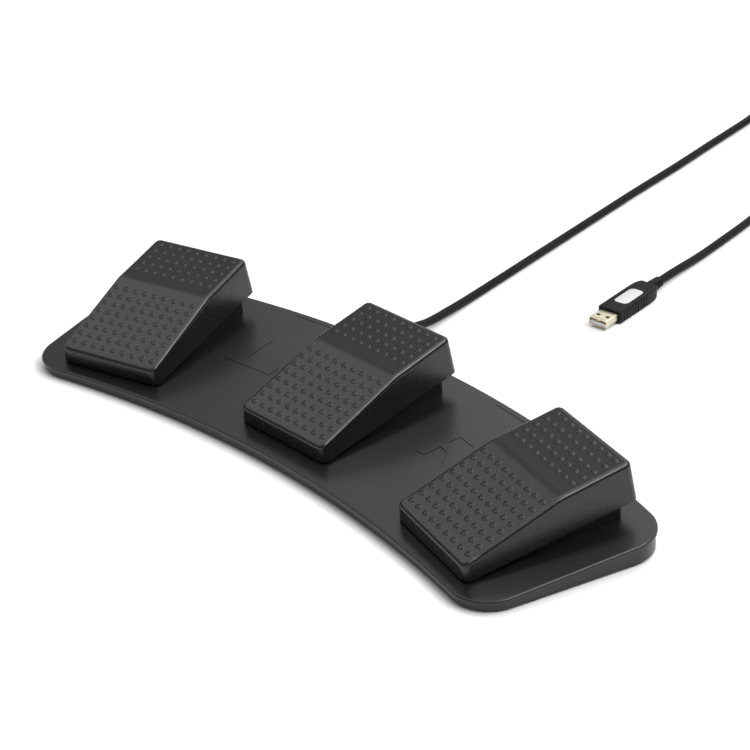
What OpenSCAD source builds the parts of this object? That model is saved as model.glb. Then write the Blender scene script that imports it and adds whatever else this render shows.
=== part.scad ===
// USB foot switch: three sprung pedals fanned on a thin curved wedge base, with a cable and a USB plug.
// Millimetres. The floor is z = 0, +X is to the right and +Y points away from the user's heel.

/* [Base] */
// Angle between neighbouring pedals, in degrees
fan_angle = 15; // [14:0.25:16.5]
// Radius of the fan, from its centre to the pedals' front edges
fan_r = 492; // [470:1:520]
// Base edge in front of the middle pedal
front_margin = 13; // [10:0.5:18]
// Radius of the hollow front edge
front_r = 612; // [580:1:660]
// Depth of the base at its middle, front to back
base_depth = 120.5; // [117:0.5:126]
// From the outer pedal's centre line to the base's end
end_margin = 53.5; // [51:0.5:58]
// Radius of the base's corners
corner_r = 22; // [16:0.5:25]
// Slope of the deck, rising to the back, in degrees
tilt = 3.5; // [3:0.25:4.5]
// Height of the deck above the tray's underside at the pedals' front
base_h = 7.4; // [6.8:0.1:8.4]
// Thickness of the deck
deck_t = 2.2; // [2:0.1:2.5]
// Overhang of the deck past the tray
deck_lip = 1; // [0.6:0.1:1.5]
// Thickness of the tray's rim
tray_wall = 2.2; // [1.8:0.1:3]
// Thickness of the tray's floor
tray_floor = 1.6; // [1.4:0.1:1.8]
// Radius of the posts that the tray screws bite into
boss_r = 3.5; // [3:0.1:4.5]
// Width and depth of the hairline marks in the deck
groove_w = 0.5; // [0.3:0.1:0.8]

/* [Feet and screws] */
// Diameter of a rubber foot
foot_d = 14; // [10:0.5:16]
// Height of a rubber foot
foot_h = 1.2; // [1:0.1:2]
// Shank radius of the screws
screw_r = 1.5; // [1.2:0.1:1.7]
// Head radius of the countersunk screws
screw_head_r = 2.75; // [2.4:0.05:3]
// Length of a tray screw
tray_screw_l = 4.2; // [3.6:0.1:4.4]
// Reach of a housing screw above the housing's floor
house_screw_l = 4; // [3:0.5:6]

/* [Pedal cover] */
// Width of a pedal's top
pedal_w = 64.4; // [63:0.2:68]
// Length of a pedal's top
pedal_l = 98.8; // [97:0.2:102]
// From the front edge to the bend in the top
crease_y = 56.6; // [52:0.2:60]
// Width of the bend
bend_w = 7; // [4:0.5:10]
// Height of the front edge above the deck, pedal level
front_h = 11.4; // [11:0.1:13]
// Height of the bend above the deck, pedal level
crease_h = 22.9; // [22:0.1:25]
// Height of the back edge above the deck, pedal level
back_h = 24.3; // [23.6:0.1:26]
// Radius of the cover's upright corners
cover_corner = 2.5; // [2:0.25:4]
// Bevel round the cover's top
cover_edge = 1; // [0.5:0.1:1.4]
// Wall of the cover
cover_t = 2.2; // [1.8:0.1:2.4]
// How far the skirt flares out at its foot
cover_draft = 1.1; // [0.6:0.1:1.6]
// Height of the skirt's foot above the deck, pedal level
skirt_gap = 1.6; // [1.5:0.1:2]
// How far the pedal stands up at rest, in degrees
rest_angle = 6; // [5.5:0.25:6.25]
// From the pedal's front edge to the hinge
hinge_y = 9.5; // [9.5:0.1:10]
// Height of the hinge above the deck
hinge_z = 6; // [5.9:0.05:6.3]
// Diameter of the hinge pin
pin_d = 3; // [2:0.1:3.4]
// Running clearance round the pin, on the radius
pin_clear = 0.05; // [0.03:0.01:0.08]
// Radius of the hinge lugs
lug_r = 3.2; // [2.8:0.1:3.4]
// Width of a hinge lug
lug_w = 6; // [4:0.5:7]
// From the housing's side to the middle of a hinge lug
lug_in = 7; // [6:0.5:10]

/* [Housing] */
// Room between the fixed housing's sides and the pedal cover
side_room = 0.8; // [0.5:0.1:2]
// From the pedal's front edge to the housing
house_front = 3; // [2.8:0.1:3.4]
// Length of the housing
house_l = 89.5; // [86:0.5:90.5]
// Wall of the housing
house_wall = 2; // [1.6:0.1:2.2]
// Floor of the housing
house_floor = 2; // [1.6:0.1:2.2]
// Radius of the housing's corners
house_corner = 3; // [2:0.25:4]
// Room left between the housing and the pressed cover
press_gap = 0.8; // [0.6:0.1:1.5]
// From the housing's side to the screw posts
post_in = 6; // [5.5:0.5:9]
// Height of the screw posts above the floor
post_h = 7; // [6.5:0.5:8]
// Height of the stop ledge's underside above the deck
ledge_z = 16; // [15:0.25:16.5]
// Thickness of the stop ledge
ledge_t = 2; // [1.5:0.1:2.5]
// Reach of the stop ledge from the back wall
ledge_reach = 2.4; // [2:0.1:2.8]
// Width of a stop hook
hook_w = 8; // [5:0.5:10]

/* [Return spring] */
// Outside diameter of the spring
spring_d = 10; // [9:0.5:12]
// Wire of the spring
spring_wire = 1; // [0.8:0.1:1.2]
// Number of turns
spring_turns = 7; // [5:1:9]
// Height of the seat under the cover, above the deck, pedal at rest
spring_top = 24; // [22:0.25:25]

/* [Switch] */
// Side of the square switch body
switch_w = 14; // [12:0.5:16]
// Height of the switch body
switch_h = 8; // [7.5:0.1:8.5]
// Diameter of the plunger
plunger_d = 5; // [4:0.1:6]
// Height of the plunger above the switch body
plunger_h = 3.3; // [3.2:0.05:3.8]
// Clearance round the plunger, on the radius
plunger_clear = 0.06; // [0.04:0.01:0.09]
// Gap between the plunger and the pad that presses it
switch_gap = 0.35; // [0.25:0.05:0.5]
// Thickness of the circuit boards
board_t = 1.6; // [1:0.1:1.8]

/* [Cable] */
// Diameter of the cable
cable_d = 5; // [4.6:0.1:5.2]
// Radius of the coil's outer turn
coil_r = 37; // [36:0.5:40]
// Turns in each layer of the coil
coil_turns = 2.5; // [2.5:1:3.5]
// Step between neighbouring turns
coil_step = 5.6; // [5.5:0.1:6]
// Length of the moulded strain relief outside the base
gland_l = 15; // [12:0.5:20]
// Thickness of the tie round the coil
tie_t = 0.9; // [0.6:0.1:1.2]
// Width of the tie
tie_w = 5; // [3:0.5:8]

/* [Plug] */
// Length of the plug's grip
grip_l = 44; // [40:0.5:50]
// Width of the plug's grip
grip_w = 16; // [15:0.25:18]
// Thickness of the plug's grip
grip_t = 8; // [7.5:0.25:9]
// Number of finger ribs on each side
rib_count = 9; // [6:1:10]
// Length of the boot
boot_l = 11; // [9:0.5:16]
// Length of the bare plate on the grip
label_l = 21; // [18:0.5:23]
// Width of the bare plate on the grip
label_w = 9.6; // [8:0.2:11]
// Width of the metal shell
shell_w = 12; // [11.9:0.05:12.1]
// Height of the metal shell
shell_h = 4.5; // [4.4:0.05:4.6]
// Length of the metal shell outside the grip
shell_l = 12; // [11.75:0.05:13]
// Sheet of the metal shell
shell_t = 0.3; // [0.25:0.05:0.4]

/* [Hidden] */
$fn = 48;

// Taller than any piece, for cutting blocks
tall = 60;
// Overshoot of a cut past the face that it opens
cut = 0.5;
// Thickness of a rib that only shapes a hull
sliver = 0.01;

// Plan of the base
fan_centre = [0, -fan_r];
front_centre = [0, -front_margin - front_r];
back_y = base_depth - front_margin;
back_r = fan_r + back_y;
corner_x = end_margin - corner_r;

function turned(p, a) = [p.x * cos(a) - p.y * sin(a), p.x * sin(a) + p.y * cos(a)];
function heading(v) = atan2(v.y, v.x);
function arc(c, r, a0, a1, n, first = 0) =
    [for (i = [first:n]) c + r * [cos(a0 + (a1 - a0) * i / n), sin(a0 + (a1 - a0) * i / n)]];

// Centres of the right-hand corners: each circle touches the end edge and one of the curved edges
front_seen = turned(front_centre - fan_centre, fan_angle);
front_reach = sqrt(pow(front_r + corner_r, 2) - pow(corner_x - front_seen.x, 2));
back_reach = sqrt(pow(back_r - corner_r, 2) - pow(corner_x, 2));
front_corner = fan_centre + turned([corner_x, front_seen.y + front_reach], -fan_angle);
back_corner = fan_centre + turned([corner_x, back_reach], -fan_angle);
front_turn = heading(front_corner - front_centre);
back_turn = heading(back_corner - fan_centre);

function right_outline(inset) = concat(
    arc(front_centre, front_r + inset, 90, front_turn, 18),
    arc(front_corner, corner_r - inset, front_turn - 180, -fan_angle, 14, 1),
    arc(back_corner, corner_r - inset, -fan_angle, back_turn, 14),
    arc(fan_centre, back_r - inset, back_turn, 90, 18, 1));
function base_outline(inset) =
    let (half = right_outline(inset))
    concat(half, [for (i = [len(half) - 2:-1:1]) [-half[i].x, half[i].y]]);

// The deck's frame: its top face at the middle pedal's front edge, tilted on the floor.
// The part's origin is under the middle of the base's box.
deck_z = foot_h + base_h;
y_front = (front_corner.y - corner_r) * cos(tilt);
y_back = back_y * cos(tilt) + deck_t * sin(tilt);
y_mid = (y_front + y_back) / 2;
tray_top = foot_h + tray_floor;

module on_deck() translate([0, -y_mid, deck_z]) rotate([tilt, 0, 0]) children();
module about_fan(angle) translate([0, -fan_r, 0]) rotate([0, 0, -angle]) translate([0, fan_r, 0]) children();
module at_pedal(side) on_deck() about_fan(side * fan_angle) children();

// Place in the part's frame of a point given in the deck's frame
function deck_point(p) = [
    p.x,
    p.y * cos(tilt) - p.z * sin(tilt) - y_mid,
    p.y * sin(tilt) + p.z * cos(tilt) + deck_z];
// Floor point under a spot of the fan
function fan_spot(angle, r) = [r * sin(angle), (r * cos(angle) - fan_r) * cos(tilt) - y_mid, 0];

// Slab of the base between a level cut and a plane parallel to the deck
module base_slab(inset, low, under_deck) intersection() {
    on_deck() translate([0, 0, -tall]) linear_extrude(tall - under_deck) polygon(base_outline(inset));
    translate([-back_r, -back_r, low]) cube([2 * back_r, 2 * back_r, tall]);
}

// Screws of the tray stand beside the pedals, the feet between them
tray_screw_end = 9.5;
tray_screw_front = 12;
tray_screw_back = 21;
foot_front = 8;
foot_back = 15;
outer_screw_angle = fan_angle + atan((end_margin - tray_screw_end) / (fan_r + base_depth / 2));
tray_screw_spots = [for (a = [-outer_screw_angle, -fan_angle / 2, fan_angle / 2, outer_screw_angle],
    r = [fan_r + tray_screw_front, back_r - tray_screw_back]) fan_spot(a, r)];
foot_spots = [for (a = [-fan_angle - 2, 0, fan_angle + 2], r = [fan_r + foot_front, back_r - foot_back])
    fan_spot(a, r)];

// A countersunk screw with its flat head down
house_head_h = deck_t - 0.6;
module screw(head_h, length) {
    cylinder(r1 = screw_head_r, r2 = screw_r, h = head_h);
    cylinder(r = screw_r, h = length);
}

// Pedal, level: its front edge lies at y = 0 and the hinge axis runs across it
front_slope = atan((crease_h - front_h) / crease_y);
back_slope = atan((back_h - crease_h) / (pedal_l - crease_y));
function top_at(y) = y < crease_y
    ? front_h + y * tan(front_slope)
    : crease_h + (y - crease_y) * tan(back_slope);

// Turns level pedal shapes up about the hinge
module at_rest() translate([0, hinge_y, hinge_z]) rotate([rest_angle, 0, 0])
    translate([0, -hinge_y, -hinge_z]) children();

// Housing places, across and along the pedal
house_w = pedal_w - 2 * (cover_t + side_room);
post_x = house_w / 2 - post_in;
lug_x = house_w / 2 - lug_in;
house_back = house_front + house_l;
function house_top(y) = top_at(y) - cover_t / cos(front_slope) - press_gap;
// The cover's front edge dips when its back stands up at rest
front_dip = (hinge_y - house_front + cut) * tan(rest_angle);
post_front = 18.5;
post_back = 15;
post_spots = [for (x = [-post_x, post_x], y = [house_front + post_front, house_back - post_back]) [x, y]];
switch_in = 19;
switch_front = 36.5;
switch_at = [house_w / 2 - switch_in, house_front + switch_front];
spring_in = 17;
spring_front = 62.5;
spring_at = [spring_in - house_w / 2, house_front + spring_front];
spring_peg_d = spring_d - 2 * spring_wire - 1.4;
hook_x = post_x - 3;
hook_gap = 0.4;
hook_swing = 2;
hook_t = 2.5;
hook_tip = house_back - house_wall - 1.3;
hook_back = house_back - house_wall - ledge_reach - hook_swing;
board_w = switch_w + 16;
board_l = switch_w + 8;
board_at = [switch_at.x - board_w / 2, switch_at.y - board_l / 2 - 1];
wire_hole_r = 2;
wire_hole_at = [switch_at.x, board_at.y + board_l + 4];
board_top = house_floor + board_t;
plunger_top = board_top + switch_h + plunger_h;
plunger_foot = board_top + switch_h - 3.6;
pad_z = plunger_top + switch_gap;
pad_r = 3;
pin_r = pin_d / 2;
lug_end = lug_x + lug_w / 2 + cut;

// Controller board under the deck, behind the middle pedal
controller_size = [40, 16];
controller_left = 32;
controller_in = 31;
controller_at = [-controller_left, back_y - controller_in];
controller_gap = 2;
controller_z = -deck_t - controller_gap - board_t;
socket_size = [6, 5, 2.4];
wire_r = 0.9;
wire_z = controller_z - socket_size.z / 2;

// Sweeps a round tube along points
function unit(v) = v / norm(v);
function tangent(p, i) = unit(p[min(i + 1, len(p) - 1)] - p[max(i - 1, 0)]);
function ring(p, i, r, sides, ref) =
    let (t = tangent(p, i), s = unit(cross(t, ref)), u = cross(s, t))
    [for (j = [0:sides - 1]) p[i] + r * (cos(360 * j / sides) * s + sin(360 * j / sides) * u)];
module tube(p, r, sides, ref = [0, 0, 1]) {
    n = len(p);
    rings = [for (i = [0:n - 1]) each ring(p, i, r, sides, ref)];
    walls = [for (i = [0:n - 2], j = [0:sides - 1])
        let (a = i * sides + j, b = i * sides + (j + 1) % sides)
        each [[a, b, a + sides], [b, b + sides, a + sides]]];
    last = (n - 1) * sides;
    ends = [for (j = [1:sides - 2]) each [[0, j + 1, j], [last, last + j, last + j + 1]]];
    polyhedron(points = rings, faces = concat(walls, ends));
}
// Smooth curve through points, with the same number of steps in each stretch
function blend(a, b, c, d, t) = 0.5 * (2 * b + (c - a) * t + (2 * a - 5 * b + 4 * c - d) * t * t
    + (3 * b - a - 3 * c + d) * t * t * t);
function smooth(p, steps) = let (n = len(p)) concat(
    [for (i = [0:n - 2], k = [0:steps - 1])
        blend(p[max(i - 1, 0)], p[i], p[i + 1], p[min(i + 2, n - 1)], k / steps)],
    [p[n - 1]]);

// Strain relief square to the tray's rim, behind the middle pedal's left half
gland_angle = -4;
gland_drop = 6.7;
gland_r = 3.4;
gland_collar_r = gland_r + 1;
gland_flange = 1.4;
rim_play = 0.1;
rim_r = back_r - deck_lip;
gland_foot = deck_point([rim_r * sin(gland_angle), rim_r * cos(gland_angle) - fan_r, -gland_drop]);
gland_way = [sin(gland_angle), cos(gland_angle) * cos(tilt), cos(gland_angle) * sin(tilt)];
cable_exit = gland_foot + gland_l * gland_way;
module at_gland() on_deck() about_fan(gland_angle)
    translate([0, back_y - deck_lip, -gland_drop]) rotate([-90, 0, 0]) children();

// Plug: its boot starts here and it points back towards the pedals
plug_at = [14.5, 255, grip_t / 2];
plug_turn = 187.6;
plug_way = [-sin(plug_turn), cos(plug_turn), 0];

// Coil: enters at its left, winds inwards on the floor layer and outwards on the layer above
coil_centre = [-72, 534];
tie_gap = 0.3;
coil_low = cable_d / 2 + tie_t + tie_gap;
coil_high = coil_low + coil_step;
coil_loops = 2 * coil_turns + 0.5;
coil_rings = 24;
function coil_radius(t) = coil_r - coil_step * min(t, coil_loops - t);
function coil_rise(t) =
    let (s = max(0, min(1, (t - coil_turns) / 0.5)))
    coil_low + coil_step * s * s * (3 - 2 * s);
function coil_point(t) = [
    coil_centre.x - coil_radius(t) * cos(360 * t),
    coil_centre.y + coil_radius(t) * sin(360 * t),
    coil_rise(t)];
coil_in = coil_point(0) - [0, cable_d, 0];
coil_out = coil_point(coil_loops) - [0, cable_d, 0];
coil_path = concat([coil_in], [for (i = [0:coil_rings * coil_loops]) coil_point(i / coil_rings)], [coil_out]);
coil_gap = min([for (i = [0:len(coil_path) - 8], j = [i + 7:len(coil_path) - 1])
    norm(coil_path[i] - coil_path[j])]) - cable_d;
echo(coil_gap = coil_gap);

// Route of the cable on the floor, in two free stretches
floor_z = cable_d / 2;
lead_route = concat([cable_exit, cable_exit + 12 * gland_way], [
    [-47, 118, 5.2], [-51, 142, 3.6], [-56, 170, floor_z], [-63, 215, floor_z], [-70, 260, floor_z],
    [-77, 305, floor_z], [-84, 350, floor_z], [-91, 400, floor_z], [-99, 450, floor_z], [-106, 495, floor_z]],
    [coil_in - [0, 14, 0.3], coil_in]);
tail_route = concat([coil_out, coil_out - [0, 14, 0.4]], [
    [-34, 487, 6.2], [-29, 462, 3.8], [-21, 435, floor_z], [-13, 410, floor_z], [-5, 380, floor_z],
    [0, 355, floor_z], [4, 330, floor_z], [8, 303, floor_z]],
    [plug_at - 18 * plug_way - [0, 0, 0.3], plug_at]);

// Deck with the hairline marks of its moulding
left_marks = [[[-91.5, 37.8], [-82.6, 38.2], [-57.7, 41.2], [-58.5, 48.9]], [[-81.2, 45.2], [-84.2, 67.8]]];
right_marks = [[[58.4, 40.8], [65.1, 40.6], [66.4, 51.6], [72.1, 50.5], [78.4, 41.2], [80.4, 38.1]],
    [[66.7, 57.8], [68, 64.9], [79.4, 62.6]]];
edge_mark_l = 34.5;
edge_mark_angle = 7.5;
edge_mark_in = 4.4;

module groove(from, to) translate([from.x, from.y, -groove_w]) rotate([0, 0, heading(to - from)])
    translate([-groove_w / 2, -groove_w / 2, 0]) cube([norm(to - from) + groove_w, groove_w, groove_w + cut]);

module deck_marks() {
    for (line = concat(left_marks, right_marks), i = [0:len(line) - 2]) groove(line[i], line[i + 1]);
    for (side = [-1, 1]) about_fan(side * edge_mark_angle)
        groove([-edge_mark_l / 2, back_y - edge_mark_in], [edge_mark_l / 2, back_y - edge_mark_in]);
}

module deck() color([0.2, 0.2, 0.21]) difference() {
    union() {
        on_deck() translate([0, 0, -deck_t]) linear_extrude(deck_t) polygon(base_outline(0));
        intersection() {
            base_slab(deck_lip + tray_wall, tray_top, deck_t);
            for (p = tray_screw_spots) translate(p) cylinder(r = boss_r, h = tall);
        }
        on_deck() for (x = [controller_at.x + 3, controller_at.x + controller_size.x - 3])
            translate([x, controller_at.y + controller_size.y / 2, controller_z + board_t])
                cylinder(r = 2, h = controller_gap);
    }
    on_deck() deck_marks();
    for (side = [-1:1]) at_pedal(side) {
        for (p = post_spots)
            translate([p.x, p.y, -deck_t]) screw(head_h = house_head_h, length = deck_t + cut);
        translate([wire_hole_at.x, wire_hole_at.y, -deck_t - cut])
            cylinder(r = wire_hole_r, h = deck_t + 2 * cut);
    }
    for (p = tray_screw_spots) translate(p + [0, 0, foot_h]) cylinder(r = screw_r, h = tray_screw_l);
}

module base_tray() color([0.15, 0.15, 0.16]) difference() {
    base_slab(deck_lip, foot_h, deck_t);
    base_slab(deck_lip + tray_wall, tray_top, deck_t - cut);
    for (p = tray_screw_spots)
        translate(p + [0, 0, foot_h]) screw(head_h = tray_floor, length = tray_floor + cut);
    at_gland() translate([0, 0, -tray_wall - cut]) cylinder(r = gland_r, h = tray_wall + 2 * cut);
}

module rubber_feet() color([0.08, 0.08, 0.08])
    for (p = foot_spots) translate(p) cylinder(d = foot_d, h = foot_h);

module tray_screws() color([0.7, 0.7, 0.72])
    for (p = tray_screw_spots)
        translate(p + [0, 0, foot_h]) screw(head_h = tray_floor, length = tray_screw_l);

module housing_screws() color([0.7, 0.7, 0.72])
    for (side = [-1:1], p = post_spots) at_pedal(side) translate([p.x, p.y, -deck_t])
        screw(head_h = house_head_h, length = deck_t + house_floor + house_screw_l);

// Upright block with round corners, from the pedal's front towards its back
module round_block(width, from, to, r, height) linear_extrude(height) {
    translate([-width / 2 + r, from]) square([width - 2 * r, to - from]);
    translate([-width / 2, from + r]) square([width, to - from - 2 * r]);
    for (x = [-width / 2 + r, width / 2 - r], y = [from + r, to - r]) translate([x, y]) circle(r);
}

// Everything under the line that the pressed cover comes down to
module under_cover(low) rotate([90, 0, 90]) translate([0, 0, -pedal_w]) linear_extrude(2 * pedal_w)
    polygon([[house_front - cut, low], [house_back + cut, low], [house_back + cut, house_top(house_back)],
        [crease_y, house_top(crease_y)], [hinge_y, house_top(hinge_y)],
        [house_front - cut, house_top(house_front - cut) - front_dip]]);

module housing() color([0.1, 0.1, 0.1]) difference() {
    union() {
        difference() {
            intersection() {
                round_block(house_w, house_front, house_back, house_corner, tall);
                under_cover(0);
            }
            translate([0, 0, house_floor]) round_block(house_w - 2 * house_wall, house_front + house_wall,
                house_back - house_wall, house_corner - house_wall / 2, tall);
        }
        for (p = post_spots) translate([p.x, p.y, 0]) cylinder(r = screw_r + 2, h = house_floor + post_h);
        translate([spring_at.x, spring_at.y, 0]) cylinder(d = spring_peg_d, h = house_floor + 4);
        for (x = [-hook_x, hook_x])
            translate([x - hook_w / 2 - 1, house_back - house_wall - ledge_reach, ledge_z])
                cube([hook_w + 2, ledge_reach + house_wall / 2, ledge_t]);
    }
    translate([-house_w, hinge_y, hinge_z]) rotate([0, 90, 0]) cylinder(r = pin_r, h = 2 * house_w);
    for (p = post_spots)
        translate([p.x, p.y, -cut]) cylinder(r = screw_r, h = house_floor + house_screw_l + cut);
    translate([wire_hole_at.x, wire_hole_at.y, -cut]) cylinder(r = wire_hole_r, h = house_floor + 2 * cut);
}

module hinge_pin() color([0.75, 0.75, 0.77])
    translate([-house_w / 2, hinge_y, hinge_z]) rotate([0, 90, 0]) cylinder(r = pin_r, h = house_w);

// One corner of the cover's bevelled top, lying in the slope of that end
module top_corner(x, y, z, slope, r) translate([x, y, z]) rotate([slope, 0, 0])
    translate([0, 0, -cover_edge]) cylinder(r1 = r, r2 = r - cover_edge, h = cover_edge, $fn = 32);

// Rise of the bend's two creases above the slopes beside them
crown = 0.03;

// Closed form of the level cover; inset shrinks it evenly for the hollow and the inner ribs
module cover_form(inset, low) {
    r = max(cover_corner - inset, cover_edge + 0.4);
    x = pedal_w / 2 - inset - r;
    front = inset + r;
    back = pedal_l - inset - r;
    sink_front = inset / cos(front_slope);
    sink_back = inset / cos(back_slope);
    hull() {
        for (side = [-1, 1]) {
            top_corner(side * x, front, top_at(front) - sink_front, front_slope, r);
            top_corner(side * x, back, top_at(back) - sink_back, back_slope, r);
            for (y = [front - cover_draft / 2, back + cover_draft / 2])
                translate([side * (x + cover_draft), y, low]) cylinder(r = r, h = cut, $fn = 32);
        }
        for (y = [crease_y - bend_w / 2, crease_y + bend_w / 2]) {
            translate([-x - r + cover_edge, y, top_at(y) - sink_front - cut])
                cube([2 * (x + r - cover_edge), sliver, cut + crown]);
            translate([-x - r, y, top_at(y) - sink_front - cover_edge - cut])
                cube([2 * (x + r), sliver, cut]);
        }
    }
}

module pedal_cover() color([0.23, 0.23, 0.24]) difference() {
    union() {
        at_rest() difference() {
            cover_form(0, skirt_gap);
            cover_form(cover_t, skirt_gap - cut);
        }
        intersection() {
            at_rest() cover_form(cover_t / 2, skirt_gap);
            cover_ribs();
        }
    }
    translate([-lug_end, hinge_y, hinge_z]) rotate([0, 90, 0])
        cylinder(r = pin_r + pin_clear, h = 2 * lug_end);
}

// What hangs under the cover: hinge lugs, spring seat, switch pad and the two stop hooks
module cover_ribs() {
    for (side = [-1, 1]) translate([side * lug_x - lug_w / 2, hinge_y, hinge_z]) {
        rotate([0, 90, 0]) cylinder(r = lug_r, h = lug_w);
        rotate([rest_angle, 0, 0]) translate([0, -lug_r, 0]) cube([lug_w, 2 * lug_r, tall]);
    }
    translate([spring_at.x, spring_at.y, spring_top]) {
        cylinder(d = spring_d + 2, h = tall);
        translate([0, 0, -3]) cylinder(d = spring_peg_d, h = tall);
    }
    translate([switch_at.x, switch_at.y, pad_z + pad_r]) {
        sphere(pad_r);
        cylinder(r = pad_r, h = tall);
    }
    for (x = [-hook_x, hook_x]) translate([x - hook_w / 2, hook_back - hook_t, ledge_z - hook_gap - 3]) {
        cube([hook_w, hook_t, tall]);
        cube([hook_w, hook_tip - hook_back + hook_t, 3]);
    }
}

module return_spring() color([0.8, 0.8, 0.82]) {
    mean_r = (spring_d - spring_wire) / 2;
    low = house_floor + spring_wire / 2 + 0.1;
    high = spring_top - spring_wire / 2 - 0.1;
    steps = 8 * spring_turns;
    path = [for (i = [0:steps])
        [mean_r * cos(45 * i), mean_r * sin(45 * i), low + (high - low) * i / steps]];
    translate([spring_at.x, spring_at.y, 0]) tube(path, spring_wire / 2, 6);
}

module switch_board() color([0.1, 0.35, 0.2]) translate([board_at.x, board_at.y, house_floor])
    cube([board_w, board_l, board_t]);

module switch_body() color([0.12, 0.12, 0.13]) translate([switch_at.x, switch_at.y, board_top]) difference() {
    translate([-switch_w / 2, -switch_w / 2, 0]) cube([switch_w, switch_w, switch_h]);
    translate([0, 0, 0.8]) cylinder(d = plunger_d + 2 * plunger_clear, h = switch_h);
}

module switch_plunger() color([0.75, 0.15, 0.12]) translate([switch_at.x, switch_at.y, plunger_foot])
    cylinder(d = plunger_d, h = plunger_top - plunger_foot);

// Lead of one switch, from its board down through the deck and along to the controller
function pedal_point(side, p) =
    let (q = fan_centre + turned([p.x, p.y + fan_r], -side * fan_angle)) [q.x, q.y, p.z];
wire_end_gap = 0.15;
wire_room = 0.3;
wire_bend = 0.7 * wire_hole_r;
wire_rest = house_floor + wire_r + wire_room / 3;
wire_start = [
    [wire_hole_at.x, board_at.y + board_l + wire_end_gap, wire_rest],
    [wire_hole_at.x, wire_hole_at.y - wire_bend, wire_rest],
    [wire_hole_at.x, wire_hole_at.y, house_floor / 2],
    [wire_hole_at.x, wire_hole_at.y, -deck_t - wire_r - wire_room]];
// Each wire drops evenly on its way from the hole to the straight run before its socket
wire_run = 6;
module switch_wire(side, socket, way, ref) color([0.25, 0.25, 0.27]) on_deck() {
    drop = [for (p = wire_start) pedal_point(side, p)];
    from = drop[len(drop) - 1];
    end = [socket.x, socket.y, wire_z] - wire_end_gap * way;
    to = end - wire_run * way;
    bends = [for (t = [0.2, 0.5, 0.8]) from + t * (to - from)];
    tube(concat(drop, bends, [to, end]), wire_r, 6, ref);
}

socket_left = [controller_at.x, controller_at.y + controller_size.y / 2];
socket_right = [controller_at.x + controller_size.x, controller_at.y + controller_size.y / 2];
socket_front = [controller_at.x + controller_size.x / 2, controller_at.y];
socket_back = [controller_at.x + controller_size.x / 4, controller_at.y + controller_size.y];

module left_wire() switch_wire(-1, socket_left, [1, 0, 0], [-0.4, 0.9, 0]);
module middle_wire() switch_wire(0, socket_front, [0, 1, 0], [0.9, 0.5, 0]);
module right_wire() switch_wire(1, socket_right, [-1, 0, 0], [0.4, 0.9, 0]);

module controller_board() color([0.1, 0.35, 0.2]) on_deck()
    translate([controller_at.x, controller_at.y, controller_z])
        cube([controller_size.x, controller_size.y, board_t]);

module controller_parts() color([0.13, 0.13, 0.14]) on_deck() translate([0, 0, controller_z]) {
    translate([socket_left.x, socket_left.y - socket_size.y / 2, -socket_size.z]) cube(socket_size);
    translate([socket_right.x - socket_size.x, socket_right.y - socket_size.y / 2, -socket_size.z])
        cube(socket_size);
    translate([socket_front.x - socket_size.y / 2, socket_front.y, -socket_size.z])
        cube([socket_size.y, socket_size.x, socket_size.z]);
    translate([socket_back.x - socket_size.y / 2, socket_back.y - socket_size.x, -socket_size.z])
        cube([socket_size.y, socket_size.x, socket_size.z]);
    translate([socket_front.x + 5, socket_front.y + 4, -1]) cube([7, 7, 1]);
}

// Thin leads between the moulded strain relief and the controller
lead_gap = 0.9;
gland_inner = gland_foot - (tray_wall + gland_flange) * gland_way;
module usb_leads() color([0.3, 0.3, 0.32]) {
    way = [0, cos(tilt), sin(tilt)];
    socket = deck_point([socket_back.x, socket_back.y, wire_z]);
    route = [gland_inner - lead_gap * gland_way, gland_inner - 3 * gland_way, socket + 4 * way,
        socket + lead_gap * way];
    tube(smooth(route, 4), 1.1, 6);
}

module cable_gland() color([0.07, 0.07, 0.07]) at_gland() rotate_extrude() polygon([
    [0, -tray_wall - gland_flange], [gland_collar_r, -tray_wall - gland_flange],
    [gland_collar_r, -tray_wall - rim_play], [gland_r, -tray_wall - rim_play],
    [gland_r, rim_play], [gland_collar_r, rim_play], [gland_collar_r, 1.8], [gland_r, 2.2],
    [cable_d / 2 + 0.6, gland_l], [0, gland_l]]);

module cable_lead() color([0.06, 0.06, 0.06]) tube(smooth(lead_route, 3), cable_d / 2, 8);
module cable_tail() color([0.06, 0.06, 0.06]) tube(smooth(tail_route, 3), cable_d / 2, 8);
module cable_coil() color([0.06, 0.06, 0.06]) tube(coil_path, cable_d / 2, 6);

// Strap round the coil's bundle, on the side away from the climb between the layers
tie_side_gap = 0.7;
tie_turn = 0.25;
tie_in = coil_radius(coil_turns - tie_turn) - cable_d / 2 - tie_side_gap;
tie_out = coil_radius(tie_turn) + cable_d / 2 + tie_side_gap;
tie_low = coil_low - cable_d / 2 - tie_gap;
tie_high = coil_high + cable_d / 2 + tie_gap;
module cable_tie() color([0.12, 0.12, 0.12]) translate([coil_centre.x - tie_w / 2, coil_centre.y, 0])
    rotate([90, 0, 90]) linear_extrude(tie_w) difference() {
        translate([tie_in - tie_t, tie_low - tie_t])
            square([tie_out - tie_in + 2 * tie_t, tie_high - tie_low + 2 * tie_t]);
        translate([tie_in, tie_low]) square([tie_out - tie_in, tie_high - tie_low]);
    }

// Plug frame: +Y runs from the cable towards the tip
module at_plug() translate(plug_at) rotate([0, 0, plug_turn]) children();
grip_y = boot_l;
shell_y = boot_l + grip_l;
boot_r = 3.9;
boot_slot = [2.4, 1.3];
boot_slot_x = 3.3;

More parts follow.
